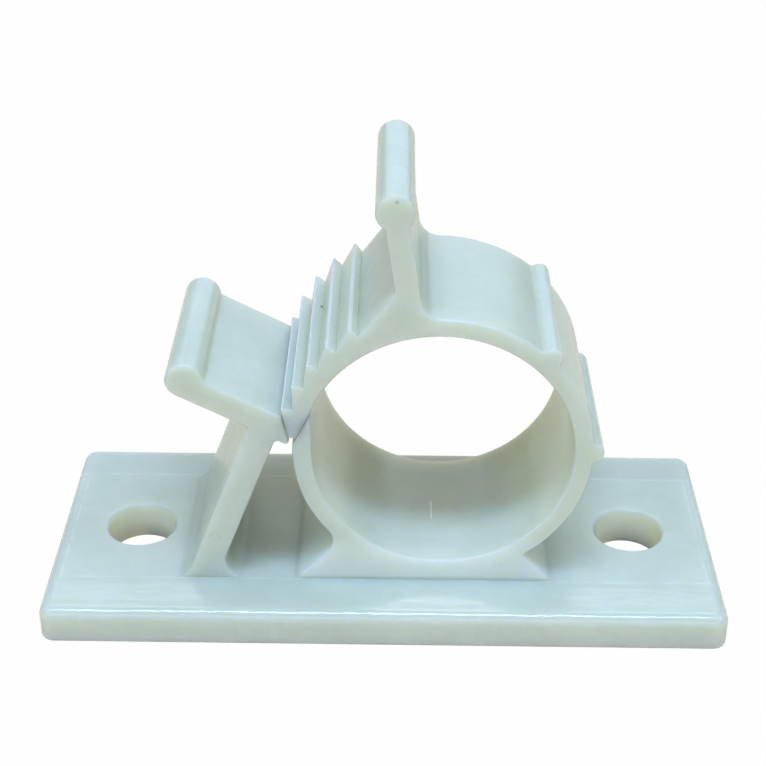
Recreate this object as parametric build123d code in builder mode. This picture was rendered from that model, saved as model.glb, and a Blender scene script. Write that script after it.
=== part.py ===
# Adjustable pipe clamp moulded in one piece from natural nylon.
# Millimetres, +X along the base (right in front view), +Y to the back, +Z up.
# Origin is the middle of the underside of the base.
import os
from math import asin, atan2, cos, degrees, radians, sin, sqrt, tan

from build123d import *

# Base plate
base_width = 23.2
base_height = 3.2
base_fall = 0.12
base_rear_fall = 0.32
base_flat_margin = 0.12
base_end_bevel = 1.1
base_slope_sink = 0.05
base_corner_radius = 1.1
base_top_round = 0.9
base_under_round = 0.35

# Screw holes
hole_diameter = 5.5
hole_rim_bevel = 0.3
hole_to_end = 6.65
hole_to_post_gap = 0.457
bore_to_hole = 15.85

# Ring that holds the pipe: the cradle below and the strap above
ring_depth = 14.3
bore_diameter = 20.0
floor_under_bore = 1.9
wall = 1.45

# Strap, whose free part springs out on a slightly larger circle
strap_join_angle = 45.0
strap_spring = 0.45
strap_bevel_angle = 159.5
strap_tip_angle = 173.6
strap_tip_slant_angle = 0.2
strap_tip_inside = 0.21
strap_tip_outside = 0.3
strap_tip_radius = 0.25
strap_plain_angle = 6.0

# Ratchet teeth on the outside of the strap
tooth_count = 5
tooth_first_angle = 123.0
tooth_pitch_angle = 9.75
tooth_root = 1.92
tooth_height = 0.88
tooth_undercut_angle = 0.25
tooth_land_angle = 0.5
crisp_margin_angle = 1.0

# Thumb tab on the strap
tab_reach = 20.25
tab_angle = 100.8
tab_lean = 8.4
tab_web = 1.76
tab_ramp_height = 13.65
tab_fillet = 1.7
tab_neck_fillet = 0.4
ramp_root_angle = 2.0
ramp_fillet = 0.6
thumb_rod_diameter = 2.86

# Grip beads on the other side of the strap
bead_diameter = 1.6
bead_angles = (47.0, 0.8)
bead_fillet = 0.3

# Foot that carries the cradle on the base
foot_left = 11.4
foot_right = 8.85
foot_slope = 46.0
foot_height = 5.0
foot_corner_left = 1.5
foot_corner_right = 0.35
foot_blend = 1.2
slab_margin = 3.0
slab_sink = 0.03

# Free play around the strap's tip, and the flat top of the cradle's tapered wall
clearance = 0.1
taper_land = 0.25

# Latch: a leaning post with a lever whose end is the pawl
post_set_back = 2.43
post_lean = 20.9
post_thickness = 2.22
post_root = 1.0
post_blend = 1.6
lever_slope = 27.4
lever_thickness = 2.05
lever_reach = 9.55
pawl_angle = 177.6
pawl_face_lean = 14.5
latch_corner_fillet = 0.35
pawl_round = 0.25

# Broken edges on the front and back faces
edge_break = 0.16

# Margin for telling two places apart when edges are picked
pick_margin = 0.01

# Derived sizes
base_edge_height = base_height - base_fall
bore_radius = bore_diameter / 2
bore_height = base_height + floor_under_bore + bore_radius
ring_radius = bore_radius + wall
rod_radius = thumb_rod_diameter / 2
root_radius = bore_radius + tooth_root
crest_radius = root_radius + tooth_height


def around(centre, radius, angle):
    return (centre[0] + radius * cos(radians(angle)), centre[1] + radius * sin(radians(angle)))


def along(start, distance, angle):
    return around(start, distance, angle)


def sweep(centre, radius, first, last):
    halfway = around(centre, radius, (first + last) / 2)
    ThreePointArc(around(centre, radius, first), halfway, around(centre, radius, last))


def crossing(first, first_angle, second, second_angle):
    a = (cos(radians(first_angle)), sin(radians(first_angle)))
    b = (cos(radians(second_angle)), sin(radians(second_angle)))
    step = ((second[0] - first[0]) * b[1] - (second[1] - first[1]) * b[0]) / (a[0] * b[1] - a[1] * b[0])
    return (first[0] + step * a[0], first[1] + step * a[1])


def meeting(start, angle, centre, radius):
    # First point past the middle of the chord where a line from start leaves the circle
    step = (cos(radians(angle)), sin(radians(angle)))
    offset = (start[0] - centre[0], start[1] - centre[1])
    half = offset[0] * step[0] + offset[1] * step[1]
    travel = -half + sqrt(half ** 2 - offset[0] ** 2 - offset[1] ** 2 + radius ** 2)
    return along(start, travel, angle)


def bearing(start, end):
    return degrees(atan2(end[1] - start[1], end[0] - start[0]))


# Places along the base, counted from the bore: pawl, post, left hole, right hole and ends
lever_back = 180 - lever_slope
lever_up = 90 - lever_slope
post_up = 90 - post_lean
post_half = post_thickness / 2 / cos(radians(post_lean))
pawl_from_bore = around((0, bore_height), ring_radius + clearance, pawl_angle)
post_top_from_bore = along(pawl_from_bore, post_set_back, lever_back)
post_from_bore = crossing(post_top_from_bore, post_up, (0, base_height), 0)[0]
post_toe = post_half + post_blend / tan(radians((180 - post_up) / 2))
hole_room = hole_diameter / 2 + hole_rim_bevel
left_hole_from_bore = post_from_bore - post_toe - hole_to_post_gap - hole_room
hole_spacing = bore_to_hole - left_hole_from_bore
base_length = hole_spacing + 2 * hole_to_end
bore_offset = hole_spacing / 2 - bore_to_hole
bore = (bore_offset, bore_height)

# Strap circle
strap_centre = around(bore, strap_spring, strap_join_angle + 180)
strap_inner = bore_radius + strap_spring
strap_outer = strap_inner + wall

# Free end of the strap: pointed, bevelled on its inner side
bevel_start = around(strap_centre, strap_inner, strap_bevel_angle)
tip_inner = around(bore, ring_radius - strap_tip_inside, strap_tip_angle)
tip_outer = around(bore, ring_radius + strap_tip_outside, strap_tip_angle - strap_tip_slant_angle)

# Tapered top of the cradle wall, one clearance away from the strap's bevel
bevel_angle = bearing(bevel_start, tip_inner)
taper_line = along(tip_inner, clearance, bevel_angle + 90)
wall_left = bore[0] - bore_radius
taper_top = crossing(taper_line, bevel_angle, (wall_left, 0), 90)
taper_flat = (taper_top[0], taper_top[1] - taper_land)
taper_side = crossing(taper_line, bevel_angle, taper_flat, 180)
taper_foot = meeting(taper_line, bevel_angle, bore, ring_radius)
taper_foot_angle = bearing(bore, taper_foot)

# Ratchet profile from the tab to the tip
ratchet = []
for index in range(tooth_count):
    crest = tooth_first_angle + index * tooth_pitch_angle
    ratchet.append(around(bore, root_radius, crest - tooth_undercut_angle))
    ratchet.append(around(bore, crest_radius, crest))
    ratchet.append(around(bore, crest_radius, crest + tooth_land_angle))
ratchet_end_angle = tooth_first_angle + tooth_count * tooth_pitch_angle - tooth_undercut_angle
ratchet.append(around(bore, root_radius, ratchet_end_angle))
ratchet_start = ratchet[0]
strap_end_angle = tooth_first_angle - strap_plain_angle

# Thumb tab
tab_rod = around(bore, tab_reach, tab_angle)
tab_direction = 90 + tab_lean
tab_length = tab_reach - bore_radius - wall / 2
tab_base = along(tab_rod, -tab_length, tab_direction)
tab_left = along(tab_base, tab_web / 2, tab_direction + 90)
tab_right = along(tab_base, tab_web / 2, tab_direction - 90)
ramp_top = crossing(tab_left, tab_direction, (0, bore[1] + tab_ramp_height), 0)
ramp_inside = around(bore, bore_radius + wall / 2, tooth_first_angle - ramp_root_angle)
tab_left_end = along(tab_left, tab_length, tab_direction)
tab_right_end = along(tab_right, tab_length, tab_direction)
tab_down = tab_direction - 180

# Latch
pawl_tip = around(bore, ring_radius + clearance, pawl_angle)
lever_rod = along(along(pawl_tip, lever_reach, lever_back), rod_radius, lever_up)
lever_under_end = along(pawl_tip, lever_reach, lever_back)
lever_top_line = along(pawl_tip, lever_thickness, lever_up)
pawl_top = crossing(lever_top_line, lever_back, pawl_tip, 90 + pawl_face_lean)
lever_top_end = along(lever_top_line, lever_reach, lever_back)
post_left = (bore_offset + post_from_bore - post_half, base_height)
post_right = (bore_offset + post_from_bore + post_half, base_height)
lever_middle = along(pawl_tip, lever_thickness / 2, lever_up)
post_left_top = crossing(post_left, post_up, lever_middle, lever_back)
post_right_top = crossing(post_right, post_up, lever_middle, lever_back)
post_left_under = crossing(post_left, post_up, pawl_tip, lever_back)
post_right_under = crossing(post_right, post_up, pawl_tip, lever_back)

# Foot under the cradle
foot_run = foot_height / tan(radians(foot_slope))
foot_start = (bore[0] - foot_left, base_height)
foot_end = (bore[0] + foot_right, base_height)
slab_bottom = base_height / 2
slab_top = base_height - slab_sink
slab_length = base_length - 2 * slab_margin
foot_start_top = (foot_start[0] + foot_run, slab_top + foot_height)
foot_end_top = (foot_end[0] - foot_run, slab_top + foot_height)

# Raised middle of the base, whose slopes start just below the top of the plate
flat_width = ring_depth + 2 * base_flat_margin
flat_length = base_length - 2 * base_end_bevel
slope_start = base_edge_height - base_slope_sink
slope_width = base_width - 2 * base_top_round
slope_length = base_length - 2 * base_top_round

# Corners of the section that are rounded, with their radii
soft_corners = [
    (foot_start, foot_blend),
    (foot_end, foot_blend),
    (meeting(foot_start_top, foot_slope - 180, bore, ring_radius), foot_corner_left),
    (meeting(foot_end_top, -foot_slope, bore, ring_radius), foot_corner_right),
    (post_left, post_blend),
    (post_right, post_blend),
    (post_left_under, latch_corner_fillet),
    (post_right_under, latch_corner_fillet),
    (meeting(tab_right, tab_direction, strap_centre, strap_outer), tab_fillet),
    (ramp_top, ramp_fillet),
    (meeting(tab_left_end, tab_down, tab_rod, rod_radius), tab_neck_fillet),
    (meeting(tab_right_end, tab_down, tab_rod, rod_radius), tab_neck_fillet),
    (meeting(lever_top_end, -lever_slope, lever_rod, rod_radius), latch_corner_fillet),
    (tip_outer, strap_tip_radius),
    (tip_inner, strap_tip_radius),
    (pawl_tip, pawl_round),
    (pawl_top, pawl_round),
]
bead_span = 2 * degrees(asin(bead_diameter / 4 / ring_radius))
for angle in bead_angles:
    soft_corners.append((around(bore, ring_radius, angle - bead_span), bead_fillet))
    soft_corners.append((around(bore, ring_radius, angle + bead_span), bead_fillet))


def is_soft(edge):
    # The ratchet, the strap's tip and the taper beside it keep crisp edges
    place = (edge.center().X, edge.center().Z)
    in_sector = tooth_first_angle - crisp_margin_angle < bearing(bore, place) < 180
    distance = sqrt((place[0] - bore[0]) ** 2 + (place[1] - bore[1]) ** 2)
    return not (in_sector and distance < crest_radius)


with BuildPart() as upper:
    # Everything above the base has one section along the whole depth
    with BuildSketch(Plane.XZ) as section:
        # Foot of the cradle, hollowed inside the wall
        with BuildLine():
            Polyline(
                (foot_start[0], slab_bottom),
                (foot_start[0], slab_top),
                foot_start_top,
                foot_end_top,
                (foot_end[0], slab_top),
                (foot_end[0], slab_bottom),
                close=True,
            )
        make_face()
        with Locations(bore):
            Circle(bore_radius + wall / 2, mode=Mode.SUBTRACT)
        # Cradle and strap as one open band with the ratchet on its outside
        with BuildLine():
            Line(tip_inner, bevel_start)
            sweep(strap_centre, strap_inner, strap_bevel_angle, strap_join_angle)
            sweep(bore, bore_radius, strap_join_angle, -180)
            Polyline((wall_left, bore[1]), taper_flat, taper_side, taper_foot)
            sweep(bore, ring_radius, taper_foot_angle, strap_join_angle + 360)
            sweep(strap_centre, strap_outer, strap_join_angle, strap_end_angle)
            Polyline(around(strap_centre, strap_outer, strap_end_angle), *ratchet, tip_outer, tip_inner)
        make_face()
        # Slab that lies inside the base and ties the feet together
        with Locations((0, (slab_bottom + slab_top) / 2)):
            Rectangle(slab_length, slab_top - slab_bottom)
        # Thumb tab with its ramp and rod
        with BuildLine():
            Polyline(tab_left, tab_left_end, tab_right_end, tab_right, close=True)
        make_face()
        with BuildLine():
            Polyline(ratchet_start, ramp_top, tab_base, ramp_inside, close=True)
        make_face()
        with Locations(tab_rod):
            Circle(rod_radius)
        # Grip beads
        with Locations(*[around(bore, ring_radius, angle) for angle in bead_angles]):
            Circle(bead_diameter / 2)
        # Latch post and lever
        with BuildLine():
            Polyline(
                along(post_left, -post_root, post_up),
                post_left_top,
                post_right_top,
                along(post_right, -post_root, post_up),
                close=True,
            )
        make_face()
        with BuildLine():
            Polyline(pawl_tip, pawl_top, lever_top_end, lever_under_end, close=True)
        make_face()
        with Locations(lever_rod):
            Circle(rod_radius)
        for place, radius in soft_corners:
            corner = section.vertices().sort_by_distance((place[0], place[1], 0))[0]
            fillet(corner, radius)
    extrude(amount=ring_depth / 2, both=True)
    outlines = upper.faces().filter_by(Axis.Y).edges()
    outlines = outlines.filter_by(lambda edge: edge.center().Z > slab_top)
    chamfer(outlines.filter_by(is_soft), edge_break)

with BuildPart() as raised:
    # Flat middle of the base with faint slopes to its borders
    with BuildSketch(Plane.YZ.offset(-base_length / 2)):
        with BuildLine():
            Polyline(
                (-slope_width / 2, slope_start),
                (-flat_width / 2, base_height),
                (flat_width / 2, base_height),
                (slope_width / 2, slope_start),
                close=True,
            )
        make_face()
    extrude(amount=base_length)
    with BuildSketch(Plane.XZ):
        with BuildLine():
            Polyline(
                (-slope_length / 2, slope_start),
                (-flat_length / 2, base_height),
                (flat_length / 2, base_height),
                (slope_length / 2, slope_start),
                close=True,
            )
        make_face()
    extrude(amount=base_width, both=True, mode=Mode.INTERSECT)

with BuildPart() as clamp:
    # Base plate with rounded edges
    with BuildSketch():
        RectangleRounded(base_length, base_width, base_corner_radius)
    extrude(amount=base_edge_height)
    fillet(clamp.faces().sort_by(Axis.Z)[-1].edges(), base_top_round)
    fillet(clamp.faces().sort_by(Axis.Z)[0].edges(), base_under_round)
    add(raised.part)
    # The border behind the flat falls more steeply than the others
    with BuildSketch(Plane.YZ.offset(-base_length / 2)):
        with BuildLine():
            Polyline(
                (flat_width / 2, base_height),
                (base_width / 2, base_height - base_rear_fall),
                (base_width / 2, base_height),
                close=True,
            )
        make_face()
    extrude(amount=base_length, mode=Mode.SUBTRACT)
    add(upper.part)
    # Screw holes with bevelled upper rims
    with Locations((-hole_spacing / 2, 0, 0), (hole_spacing / 2, 0, 0)):
        Cylinder(
            hole_diameter / 2,
            base_height,
            align=(Align.CENTER, Align.CENTER, Align.MIN),
            mode=Mode.SUBTRACT,
        )
    hole_rims = clamp.edges().filter_by(GeomType.CIRCLE)
    hole_rims = hole_rims.filter_by(lambda edge: edge.center().Z > base_height - pick_margin)
    hole_rims = hole_rims.filter_by(lambda edge: abs(edge.radius - hole_diameter / 2) < pick_margin)
    chamfer(hole_rims, hole_rim_bevel)

os.makedirs("parts", exist_ok=True)
clamp.part.label = "pipe_clamp"
export_step(clamp.part, "parts/pipe_clamp.step")
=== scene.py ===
import math
from types import SimpleNamespace

import bpy
from mathutils import Matrix, Vector


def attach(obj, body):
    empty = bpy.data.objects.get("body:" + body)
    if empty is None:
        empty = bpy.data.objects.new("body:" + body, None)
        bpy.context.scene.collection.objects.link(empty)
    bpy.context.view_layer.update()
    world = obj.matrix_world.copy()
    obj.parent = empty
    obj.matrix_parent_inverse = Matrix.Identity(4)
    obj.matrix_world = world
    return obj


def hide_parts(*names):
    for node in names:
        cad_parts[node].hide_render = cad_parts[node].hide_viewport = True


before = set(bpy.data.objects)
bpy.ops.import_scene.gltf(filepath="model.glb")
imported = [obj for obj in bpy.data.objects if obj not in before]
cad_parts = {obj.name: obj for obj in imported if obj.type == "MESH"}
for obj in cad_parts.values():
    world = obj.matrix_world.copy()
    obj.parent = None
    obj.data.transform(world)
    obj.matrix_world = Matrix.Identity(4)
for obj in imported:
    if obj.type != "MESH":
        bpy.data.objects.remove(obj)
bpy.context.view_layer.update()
MM = 0.001

# Places on the moulding
base_top = 3.2 * MM
base_half_width = 11.6 * MM
flat_half_width = 7.27 * MM
flat_half_length = 25.8 * MM
bore_x = 4.4 * MM
bore_z = 15.1 * MM
bore_radius = 10.0 * MM
bore_floor_z = bore_z - bore_radius
ring_front_y = -7.15 * MM
crest_radius = 12.8 * MM
over_pawl_z = 18.86 * MM
left_of_tab_x = -2.25 * MM
between_post_and_foot_x = -9.5 * MM
foot_fade_z = 6.8 * MM
hole_x = 20.25 * MM
hole_radius = 2.75 * MM

# Marks on it
pale_line_x = 3.81 * MM
pale_line_y = -0.28 * MM
tooth_speck_place = (-5.13 * MM, 2.62 * MM, 22.47 * MM)
tab_speck_x = 0.71 * MM
tab_speck_z = 35.9 * MM
post_pin_x = -13.36 * MM
post_pin_z = 6.86 * MM
post_pin_radius = 0.42 * MM
post_pin_fade = (6.7 * MM, 6.95 * MM)
foot_pin_x = 8.98 * MM
foot_pin_z = 4.5 * MM
foot_pin_radius = 0.3 * MM
foot_pin_fade = (4.4 * MM, 4.6 * MM)

# Mesh of the visible moulding
joined_within = 0.002 * MM
flat_angle = math.radians(0.2)
edge_softness = 0.015 * MM
sharp_angle = math.radians(55.0)
smooth_angle = math.radians(50.0)

# Colours
nylon_dark = (0.622, 0.668, 0.560, 1.0)
nylon_light = (0.672, 0.712, 0.610, 1.0)
crest_painted_highlight = (0.98, 0.99, 0.97, 1.0)
crease_painted_highlight = (0.92, 0.95, 0.93, 1.0)
pale_line_white = (1.0, 1.0, 0.98, 1.0)
rear_border_painted_shade = (0.42, 0.45, 0.41, 1.0)
painted_light_foot_colour = (0.86, 0.90, 0.81, 1.0)
hole_wall_painted_light = (0.80, 0.81, 0.66, 1.0)
hole_bottom_painted_warm_shade = (0.54, 0.47, 0.32, 1.0)
speck_dark = (0.10, 0.11, 0.11, 1.0)
floor_colour = (0.92, 0.76, 0.54, 1.0)
room_colour = (0.24, 0.215, 0.145, 1.0)
white = (1.0, 1.0, 1.0, 1.0)

# Floor, lamps and camera; the focal length and the picture's width are in pixels
floor_size = 4.0
lamps_aim_at = (0.0, 0.0, 15.0 * MM)
eye = (0.70 * MM, -109.44 * MM, 82.25 * MM)
yaw = math.radians(-0.490)
pitch = math.radians(-30.768)
roll = math.radians(0.399)
focal_length = 1612.05
picture_width = 766.0
sensor_width = 36.0


# Shader maths: an expression on values adds its Math nodes
class Value:
    def __init__(self, tree, socket):
        self.tree = tree
        self.socket = socket

    def math(self, operation, *others):
        node = self.tree.nodes.new("ShaderNodeMath")
        node.operation = operation
        self.tree.links.new(self.socket, node.inputs[0])
        for place, number in enumerate(others, start=1):
            if isinstance(number, Value):
                self.tree.links.new(number.socket, node.inputs[place])
            else:
                node.inputs[place].default_value = number
        return Value(self.tree, node.outputs[0])

    def __add__(self, other):
        return self.math("ADD", other)

    def __radd__(self, other):
        return self.math("ADD", other)

    def __sub__(self, other):
        return self.math("SUBTRACT", other)

    def __rsub__(self, other):
        return self.math("MULTIPLY_ADD", -1.0, other)

    def __mul__(self, other):
        return self.math("MULTIPLY", other)

    def either(self, other):
        return self.math("MAXIMUM", other)

    def rise(self, low, high):
        smooth = {"interpolation_type": "SMOOTHSTEP"}
        ends = {"Value": self, "From Min": low, "From Max": high}
        return Finish(self.tree).node("ShaderNodeMapRange", smooth, ends)["Result"]

    def fall(self, low, high):
        return 1.0 - self.rise(low, high)

    def near(self, middle, inner, outer):
        return (self - middle).math("ABSOLUTE").fall(inner, outer)


# Shader nodes: one method makes any node, with its settings first and then its sockets
class Finish:
    def __init__(self, tree):
        self.tree = tree

    def node(self, kind, settings=None, sockets=None):
        node = self.tree.nodes.new(kind)
        for name, setting in (settings or {}).items():
            setattr(node, name, setting)
        for name, value in (sockets or {}).items():
            if isinstance(value, Value):
                self.tree.links.new(value.socket, node.inputs[name])
            else:
                node.inputs[name].default_value = value
        outputs = {}
        for place, socket in enumerate(node.outputs):
            outputs[socket.name] = Value(self.tree, socket)
            outputs[place] = outputs[socket.name]
        return outputs

    def noise(self, place, scale, detail):
        sockets = {"Vector": place, "Scale": scale, "Detail": detail}
        return self.node("ShaderNodeTexNoise", {}, sockets)["Fac"]

    def mix(self, factor, first, second):
        sockets = {"Factor": factor, 6: first, 7: second}
        return self.node("ShaderNodeMix", {"data_type": "RGBA"}, sockets)[2]


def new_finish(name):
    material = bpy.data.materials.new(name)
    material.use_nodes = True
    material.node_tree.nodes.clear()
    return material, Finish(material.node_tree)


def from_axis(first, first_place, second, second_place):
    # Distance from an axis, in the view along it
    first_step = first - first_place
    second_step = second - second_place
    return (first_step * first_step + second_step * second_step).math("SQRT")


def places_on(finish):
    # Where a point of the moulding lies, as values for the masks
    point = finish.node("ShaderNodeTexCoord")["Object"]
    axes = finish.node("ShaderNodeSeparateXYZ", {}, {"Vector": point})
    at = SimpleNamespace(point=point, x=axes["X"], y=axes["Y"], z=axes["Z"])
    at.along = at.x.math("ABSOLUTE")
    at.across = at.y.math("ABSOLUTE")
    at.from_bore = from_axis(at.x, bore_x, at.z, bore_z)
    at.on_base = at.z.fall(base_top + 0.2 * MM, base_top + 0.6 * MM)
    at.on_front = at.y.fall(ring_front_y + 0.1 * MM, ring_front_y + 0.2 * MM)
    return at


def tooth_crest_highlight_mask(at):
    # Painted highlight: the thin crests of the teeth are whitened where they would catch light
    skin = at.from_bore.rise(crest_radius - 0.16 * MM, crest_radius - 0.06 * MM)
    within = at.from_bore.fall(crest_radius + 0.01 * MM, crest_radius + 0.05 * MM)
    left_of_tab = at.x.fall(left_of_tab_x - 0.05 * MM, left_of_tab_x + 0.05 * MM)
    over_pawl = at.z.rise(over_pawl_z - 0.06 * MM, over_pawl_z + 0.06 * MM)
    return skin * within * left_of_tab * over_pawl


def base_crease_highlight_mask(at):
    # Painted highlight along the creases at the border of the base's flat
    long_crease = at.across.near(flat_half_width, 0.03 * MM, 0.14 * MM)
    end_crease = at.along.near(flat_half_length, 0.03 * MM, 0.16 * MM)
    inside_length = at.along.fall(flat_half_length, flat_half_length + 0.2 * MM)
    inside_width = at.across.fall(flat_half_width, flat_half_width + 0.2 * MM)
    return (long_crease * inside_length).either(end_crease * inside_width) * at.on_base


def foot_painted_light_mask(at):
    # Painted light on the ring's foot above the base, where it lies in shade
    over_base = at.z.rise(base_top + 0.05 * MM, base_top + 0.4 * MM)
    low = at.z.fall(foot_fade_z - 1.2 * MM, foot_fade_z + 1.2 * MM)
    beyond_post = at.x.rise(between_post_and_foot_x - 0.5 * MM, between_post_and_foot_x + 0.5 * MM)
    outside_bore = at.from_bore.rise(bore_radius + 0.03 * MM, bore_radius + 0.15 * MM)
    return over_base * low * beyond_post * outside_bore


def hole_walls(at):
    from_hole = from_axis(at.along, hole_x, at.y, 0.0)
    return from_hole.fall(hole_radius + 0.01 * MM, hole_radius + 0.10 * MM)


def bore_floor_pale_line(at):
    # A thin pale line along the bore's floor
    thin = at.x.near(pale_line_x, 0.02 * MM, 0.07 * MM)
    length = at.y.near(pale_line_y, 1.0 * MM, 1.45 * MM)
    on_bore_floor = at.z.near(bore_floor_z, 0.2 * MM, 0.4 * MM)
    return thin * length * on_bore_floor


def specks(finish, at):
    # A dark one on a tooth and a faint one on the tab
    ends = {0: at.point, 1: tooth_speck_place}
    from_tooth_speck = finish.node("ShaderNodeVectorMath", {"operation": "DISTANCE"}, ends)["Value"]
    from_tab_speck = from_axis(at.x, tab_speck_x, at.z, tab_speck_z)
    on_tooth = from_tooth_speck.fall(0.08 * MM, 0.17 * MM)
    on_tab = from_tab_speck.fall(0.05 * MM, 0.2 * MM) * at.on_front
    return on_tooth.either(on_tab * 0.35)


def pin_ring(at, x, z, radius, fade):
    # The upper half of the ring that an ejector pin leaves on the front
    ring = from_axis(at.x, x, at.z, z).near(radius, 0.0, 0.09 * MM)
    return ring * at.z.rise(*fade) * at.on_front


def natural_nylon():
    material, finish = new_finish("natural_nylon")
    at = places_on(finish)

    # Patterns: clouds inside the nylon, a fine grain, waves of the mould, ripples, streaks
    cloud = finish.noise(at.point, 170.0, 3.0)
    grain = finish.noise(at.point, 1100.0, 2.0)
    wave = finish.noise(at.point, 260.0, 1.0)
    ripple = finish.noise(at.point, 1400.0, 1.0)
    stretch = {0: at.point, 1: (0.3, 1.0, 1.0)}
    streak_point = finish.node("ShaderNodeVectorMath", {"operation": "MULTIPLY"}, stretch)["Vector"]
    streak = finish.noise(streak_point, 1500.0, 3.0)

    # The base's borders are less well polished than the rest, and its long edges are rippled
    border = at.across.rise(flat_half_width, flat_half_width + 0.8 * MM) * at.on_base
    rear_border = at.y.rise(flat_half_width, flat_half_width + 0.3 * MM) * at.on_base
    edge = at.across.rise(base_half_width - 0.9 * MM, base_half_width - 0.5 * MM) * at.on_base

    # Milky nylon, with painted highlights on the thin crests and on the creases of the base's flat,
    # painted shade on the rear border and painted light in the foot
    tone = (cloud * 0.7 + grain * 0.3).rise(0.32, 0.68)
    colour = finish.mix(tone, nylon_dark, nylon_light)
    colour = finish.mix(tooth_crest_highlight_mask(at), colour, crest_painted_highlight)
    # Painted shade darkens the rear border
    colour = finish.mix(rear_border * 0.2, colour, rear_border_painted_shade)
    colour = finish.mix(base_crease_highlight_mask(at) * streak.rise(0.35, 0.65) * 0.28, colour, crease_painted_highlight)
    colour = finish.mix(foot_painted_light_mask(at) * 0.6, colour, painted_light_foot_colour)

    # Painted light makes the walls of the holes pale and warm, and painted warm shade makes them browner
    # towards the underside
    in_hole = hole_walls(at)
    low_in_hole = in_hole * at.z.fall(0.2 * MM, 1.8 * MM)
    colour = finish.mix(in_hole * 0.7, colour, hole_wall_painted_light)
    colour = finish.mix(low_in_hole * 0.5, colour, hole_bottom_painted_warm_shade)

    # Small marks
    colour = finish.mix(bore_floor_pale_line(at), colour, pale_line_white)
    colour = finish.mix(specks(finish, at), colour, speck_dark)

    # Unevenness of the skin, with the pin rings pressed in
    post_ring = pin_ring(at, post_pin_x, post_pin_z, post_pin_radius, post_pin_fade)
    foot_ring = pin_ring(at, foot_pin_x, foot_pin_z, foot_pin_radius, foot_pin_fade)
    ring = post_ring.either(foot_ring)
    height = wave * 0.25 + grain * 0.012 + streak * border * 0.3 + ripple * edge * 0.8 - ring * 1.2
    relief = {"Strength": 1.0, "Distance": 0.07 * MM, "Height": height}
    bump = finish.node("ShaderNodeBump", {}, relief)["Normal"]

    surface = finish.node(
        "ShaderNodeBsdfPrincipled",
        {},
        {
            "Base Color": colour,
            "Roughness": 0.15 + grain * 0.1 + rear_border * 0.45 - edge * 0.07,
            "IOR": 1.53,
            "Subsurface Weight": 1.0,
            "Subsurface Radius": (1.0, 0.85, 0.55),
            "Subsurface Scale": 3.6 * MM,
            "Normal": bump,
        },
    )["BSDF"]
    finish.node("ShaderNodeOutputMaterial", {}, {"Surface": surface})
    return material


def white_floor():
    material, finish = new_finish("white_floor")
    rays = finish.node("ShaderNodeLightPath")
    seen = rays["Is Camera Ray"].either(rays["Is Transmission Ray"])
    white_share = (seen * 0.975).either(rays["Is Glossy Ray"] * 0.1)
    matt = finish.node("ShaderNodeBsdfDiffuse", {}, {"Color": floor_colour})["BSDF"]
    glow = finish.node("ShaderNodeEmission", {}, {"Color": white, "Strength": 1.0})["Emission"]
    both = finish.node("ShaderNodeMixShader", {}, {"Fac": white_share, 1: matt, 2: glow})["Shader"]
    finish.node("ShaderNodeOutputMaterial", {}, {"Surface": both})
    return material


def white_room():
    world = bpy.data.worlds.new("white_room")
    bpy.context.scene.world = world
    world.use_nodes = True
    world.node_tree.nodes.clear()
    room = Finish(world.node_tree)
    rays = room.node("ShaderNodeLightPath")
    seen = rays["Is Camera Ray"].either(rays["Is Transmission Ray"])
    white_share = seen.either(rays["Is Glossy Ray"] * 0.1)
    shade = room.mix(white_share, room_colour, white)
    back = room.node("ShaderNodeBackground", {}, {"Color": shade, "Strength": 1.0})["Background"]
    room.node("ShaderNodeOutputWorld", {}, {"Surface": back})


def only(piece):
    bpy.ops.object.select_all(action="DESELECT")
    piece.select_set(True)
    bpy.context.view_layer.objects.active = piece


def clamp_moulding():
    # The moulding is the solid itself, with its facets joined and its edges softened
    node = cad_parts["pipe_clamp"]
    piece = bpy.data.objects.new("clamp_moulding", node.data.copy())
    bpy.context.scene.collection.objects.link(piece)
    only(piece)
    bpy.ops.object.mode_set(mode="EDIT")
    bpy.ops.mesh.select_all(action="SELECT")
    bpy.ops.mesh.remove_doubles(threshold=joined_within)
    bpy.ops.mesh.customdata_custom_splitnormals_clear()
    bpy.ops.mesh.dissolve_limited(angle_limit=flat_angle)
    bpy.ops.object.mode_set(mode="OBJECT")
    bpy.ops.object.shade_smooth_by_angle(angle=smooth_angle)
    soft = piece.modifiers.new("soft_edges", "BEVEL")
    soft.width = edge_softness
    soft.segments = 2
    soft.limit_method = "ANGLE"
    soft.angle_limit = sharp_angle
    bpy.ops.object.modifier_apply(modifier=soft.name)
    bpy.ops.object.shade_smooth_by_angle(angle=smooth_angle)
    weights = piece.modifiers.new("flat_faces_stay_flat", "WEIGHTED_NORMAL")
    weights.mode = "FACE_AREA"
    weights.weight = 50
    weights.keep_sharp = True
    bpy.ops.object.modifier_apply(modifier=weights.name)
    piece.data.materials.clear()
    piece.data.materials.append(natural_nylon())
    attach(piece, "root")
    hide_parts("pipe_clamp")


def floor():
    bpy.ops.object.select_all(action="DESELECT")
    bpy.ops.mesh.primitive_plane_add(size=floor_size, location=(0.0, 0.0, 0.0))
    plane = bpy.context.object
    plane.name = "floor"
    plane.data.materials.append(white_floor())


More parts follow.
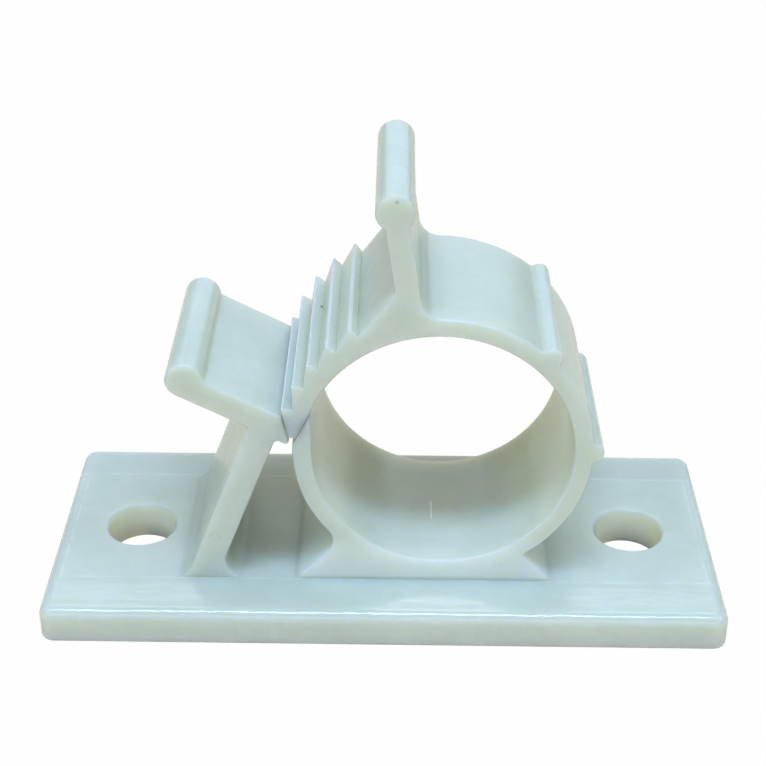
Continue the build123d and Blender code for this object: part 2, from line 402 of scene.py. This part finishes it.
def lamp(name, turn, rise, reach, width, height, power, colour):
    # A soft box: turn is counted from the front towards the right, rise from the floor
    light = bpy.data.lights.new(name, "AREA")
    light.shape = "RECTANGLE"
    light.size = width
    light.size_y = height
    light.energy = power
    light.color = colour
    holder = bpy.data.objects.new(name, light)
    bpy.context.scene.collection.objects.link(holder)
    level = reach * math.cos(math.radians(rise))
    way = Vector(
        (
            level * math.sin(math.radians(turn)),
            -level * math.cos(math.radians(turn)),
            reach * math.sin(math.radians(rise)),
        )
    )
    holder.location = Vector(lamps_aim_at) + way
    holder.rotation_euler = (-way).to_track_quat("-Z", "Y").to_euler()


def lamps():
    # Turn and rise in degrees, reach, width and height in metres, power in watts, colour
    lamp("key_lamp", 0.0, 74.0, 0.6, 0.34, 0.09, 2.48, (0.48, 0.68, 1.0))
    lamp("left_fill", -55.0, 42.0, 0.6, 0.36, 0.36, 0.88, (0.37, 0.66, 1.0))
    lamp("right_fill", 78.0, 56.0, 0.6, 0.36, 0.36, 0.92, (0.36, 0.66, 1.0))
    lamp("front_fill", 0.0, 22.0, 0.6, 0.40, 0.26, 0.72, (0.58, 0.58, 1.0))
    lamp("back_window", 177.0, 17.0, 0.7, 0.59, 0.32, 0.58, (0.58, 0.77, 1.0))
    lamp("bright_pane", 180.0, 45.6, 0.7, 0.40, 0.12, 0.65, (0.8, 0.9, 1.0))


def photo_camera():
    forward = Vector((math.sin(yaw) * math.cos(pitch), math.cos(yaw) * math.cos(pitch), math.sin(pitch)))
    level_right = forward.cross(Vector((0.0, 0.0, 1.0))).normalized()
    level_up = level_right.cross(forward)
    right = level_right * math.cos(roll) + level_up * math.sin(roll)
    up = level_up * math.cos(roll) - level_right * math.sin(roll)
    data = bpy.data.cameras.new("photo_camera")
    data.sensor_fit = "HORIZONTAL"
    data.sensor_width = sensor_width
    data.lens = sensor_width * focal_length / picture_width
    data.clip_start = 0.005
    data.clip_end = 20.0
    holder = bpy.data.objects.new("photo_camera", data)
    bpy.context.scene.collection.objects.link(holder)
    turn = Matrix((right, up, -forward)).transposed().to_4x4()
    holder.matrix_world = Matrix.Translation(eye) @ turn
    bpy.context.scene.camera = holder


clamp_moulding()
floor()
white_room()
lamps()
photo_camera()
bpy.context.scene.view_settings.view_transform = "Standard"
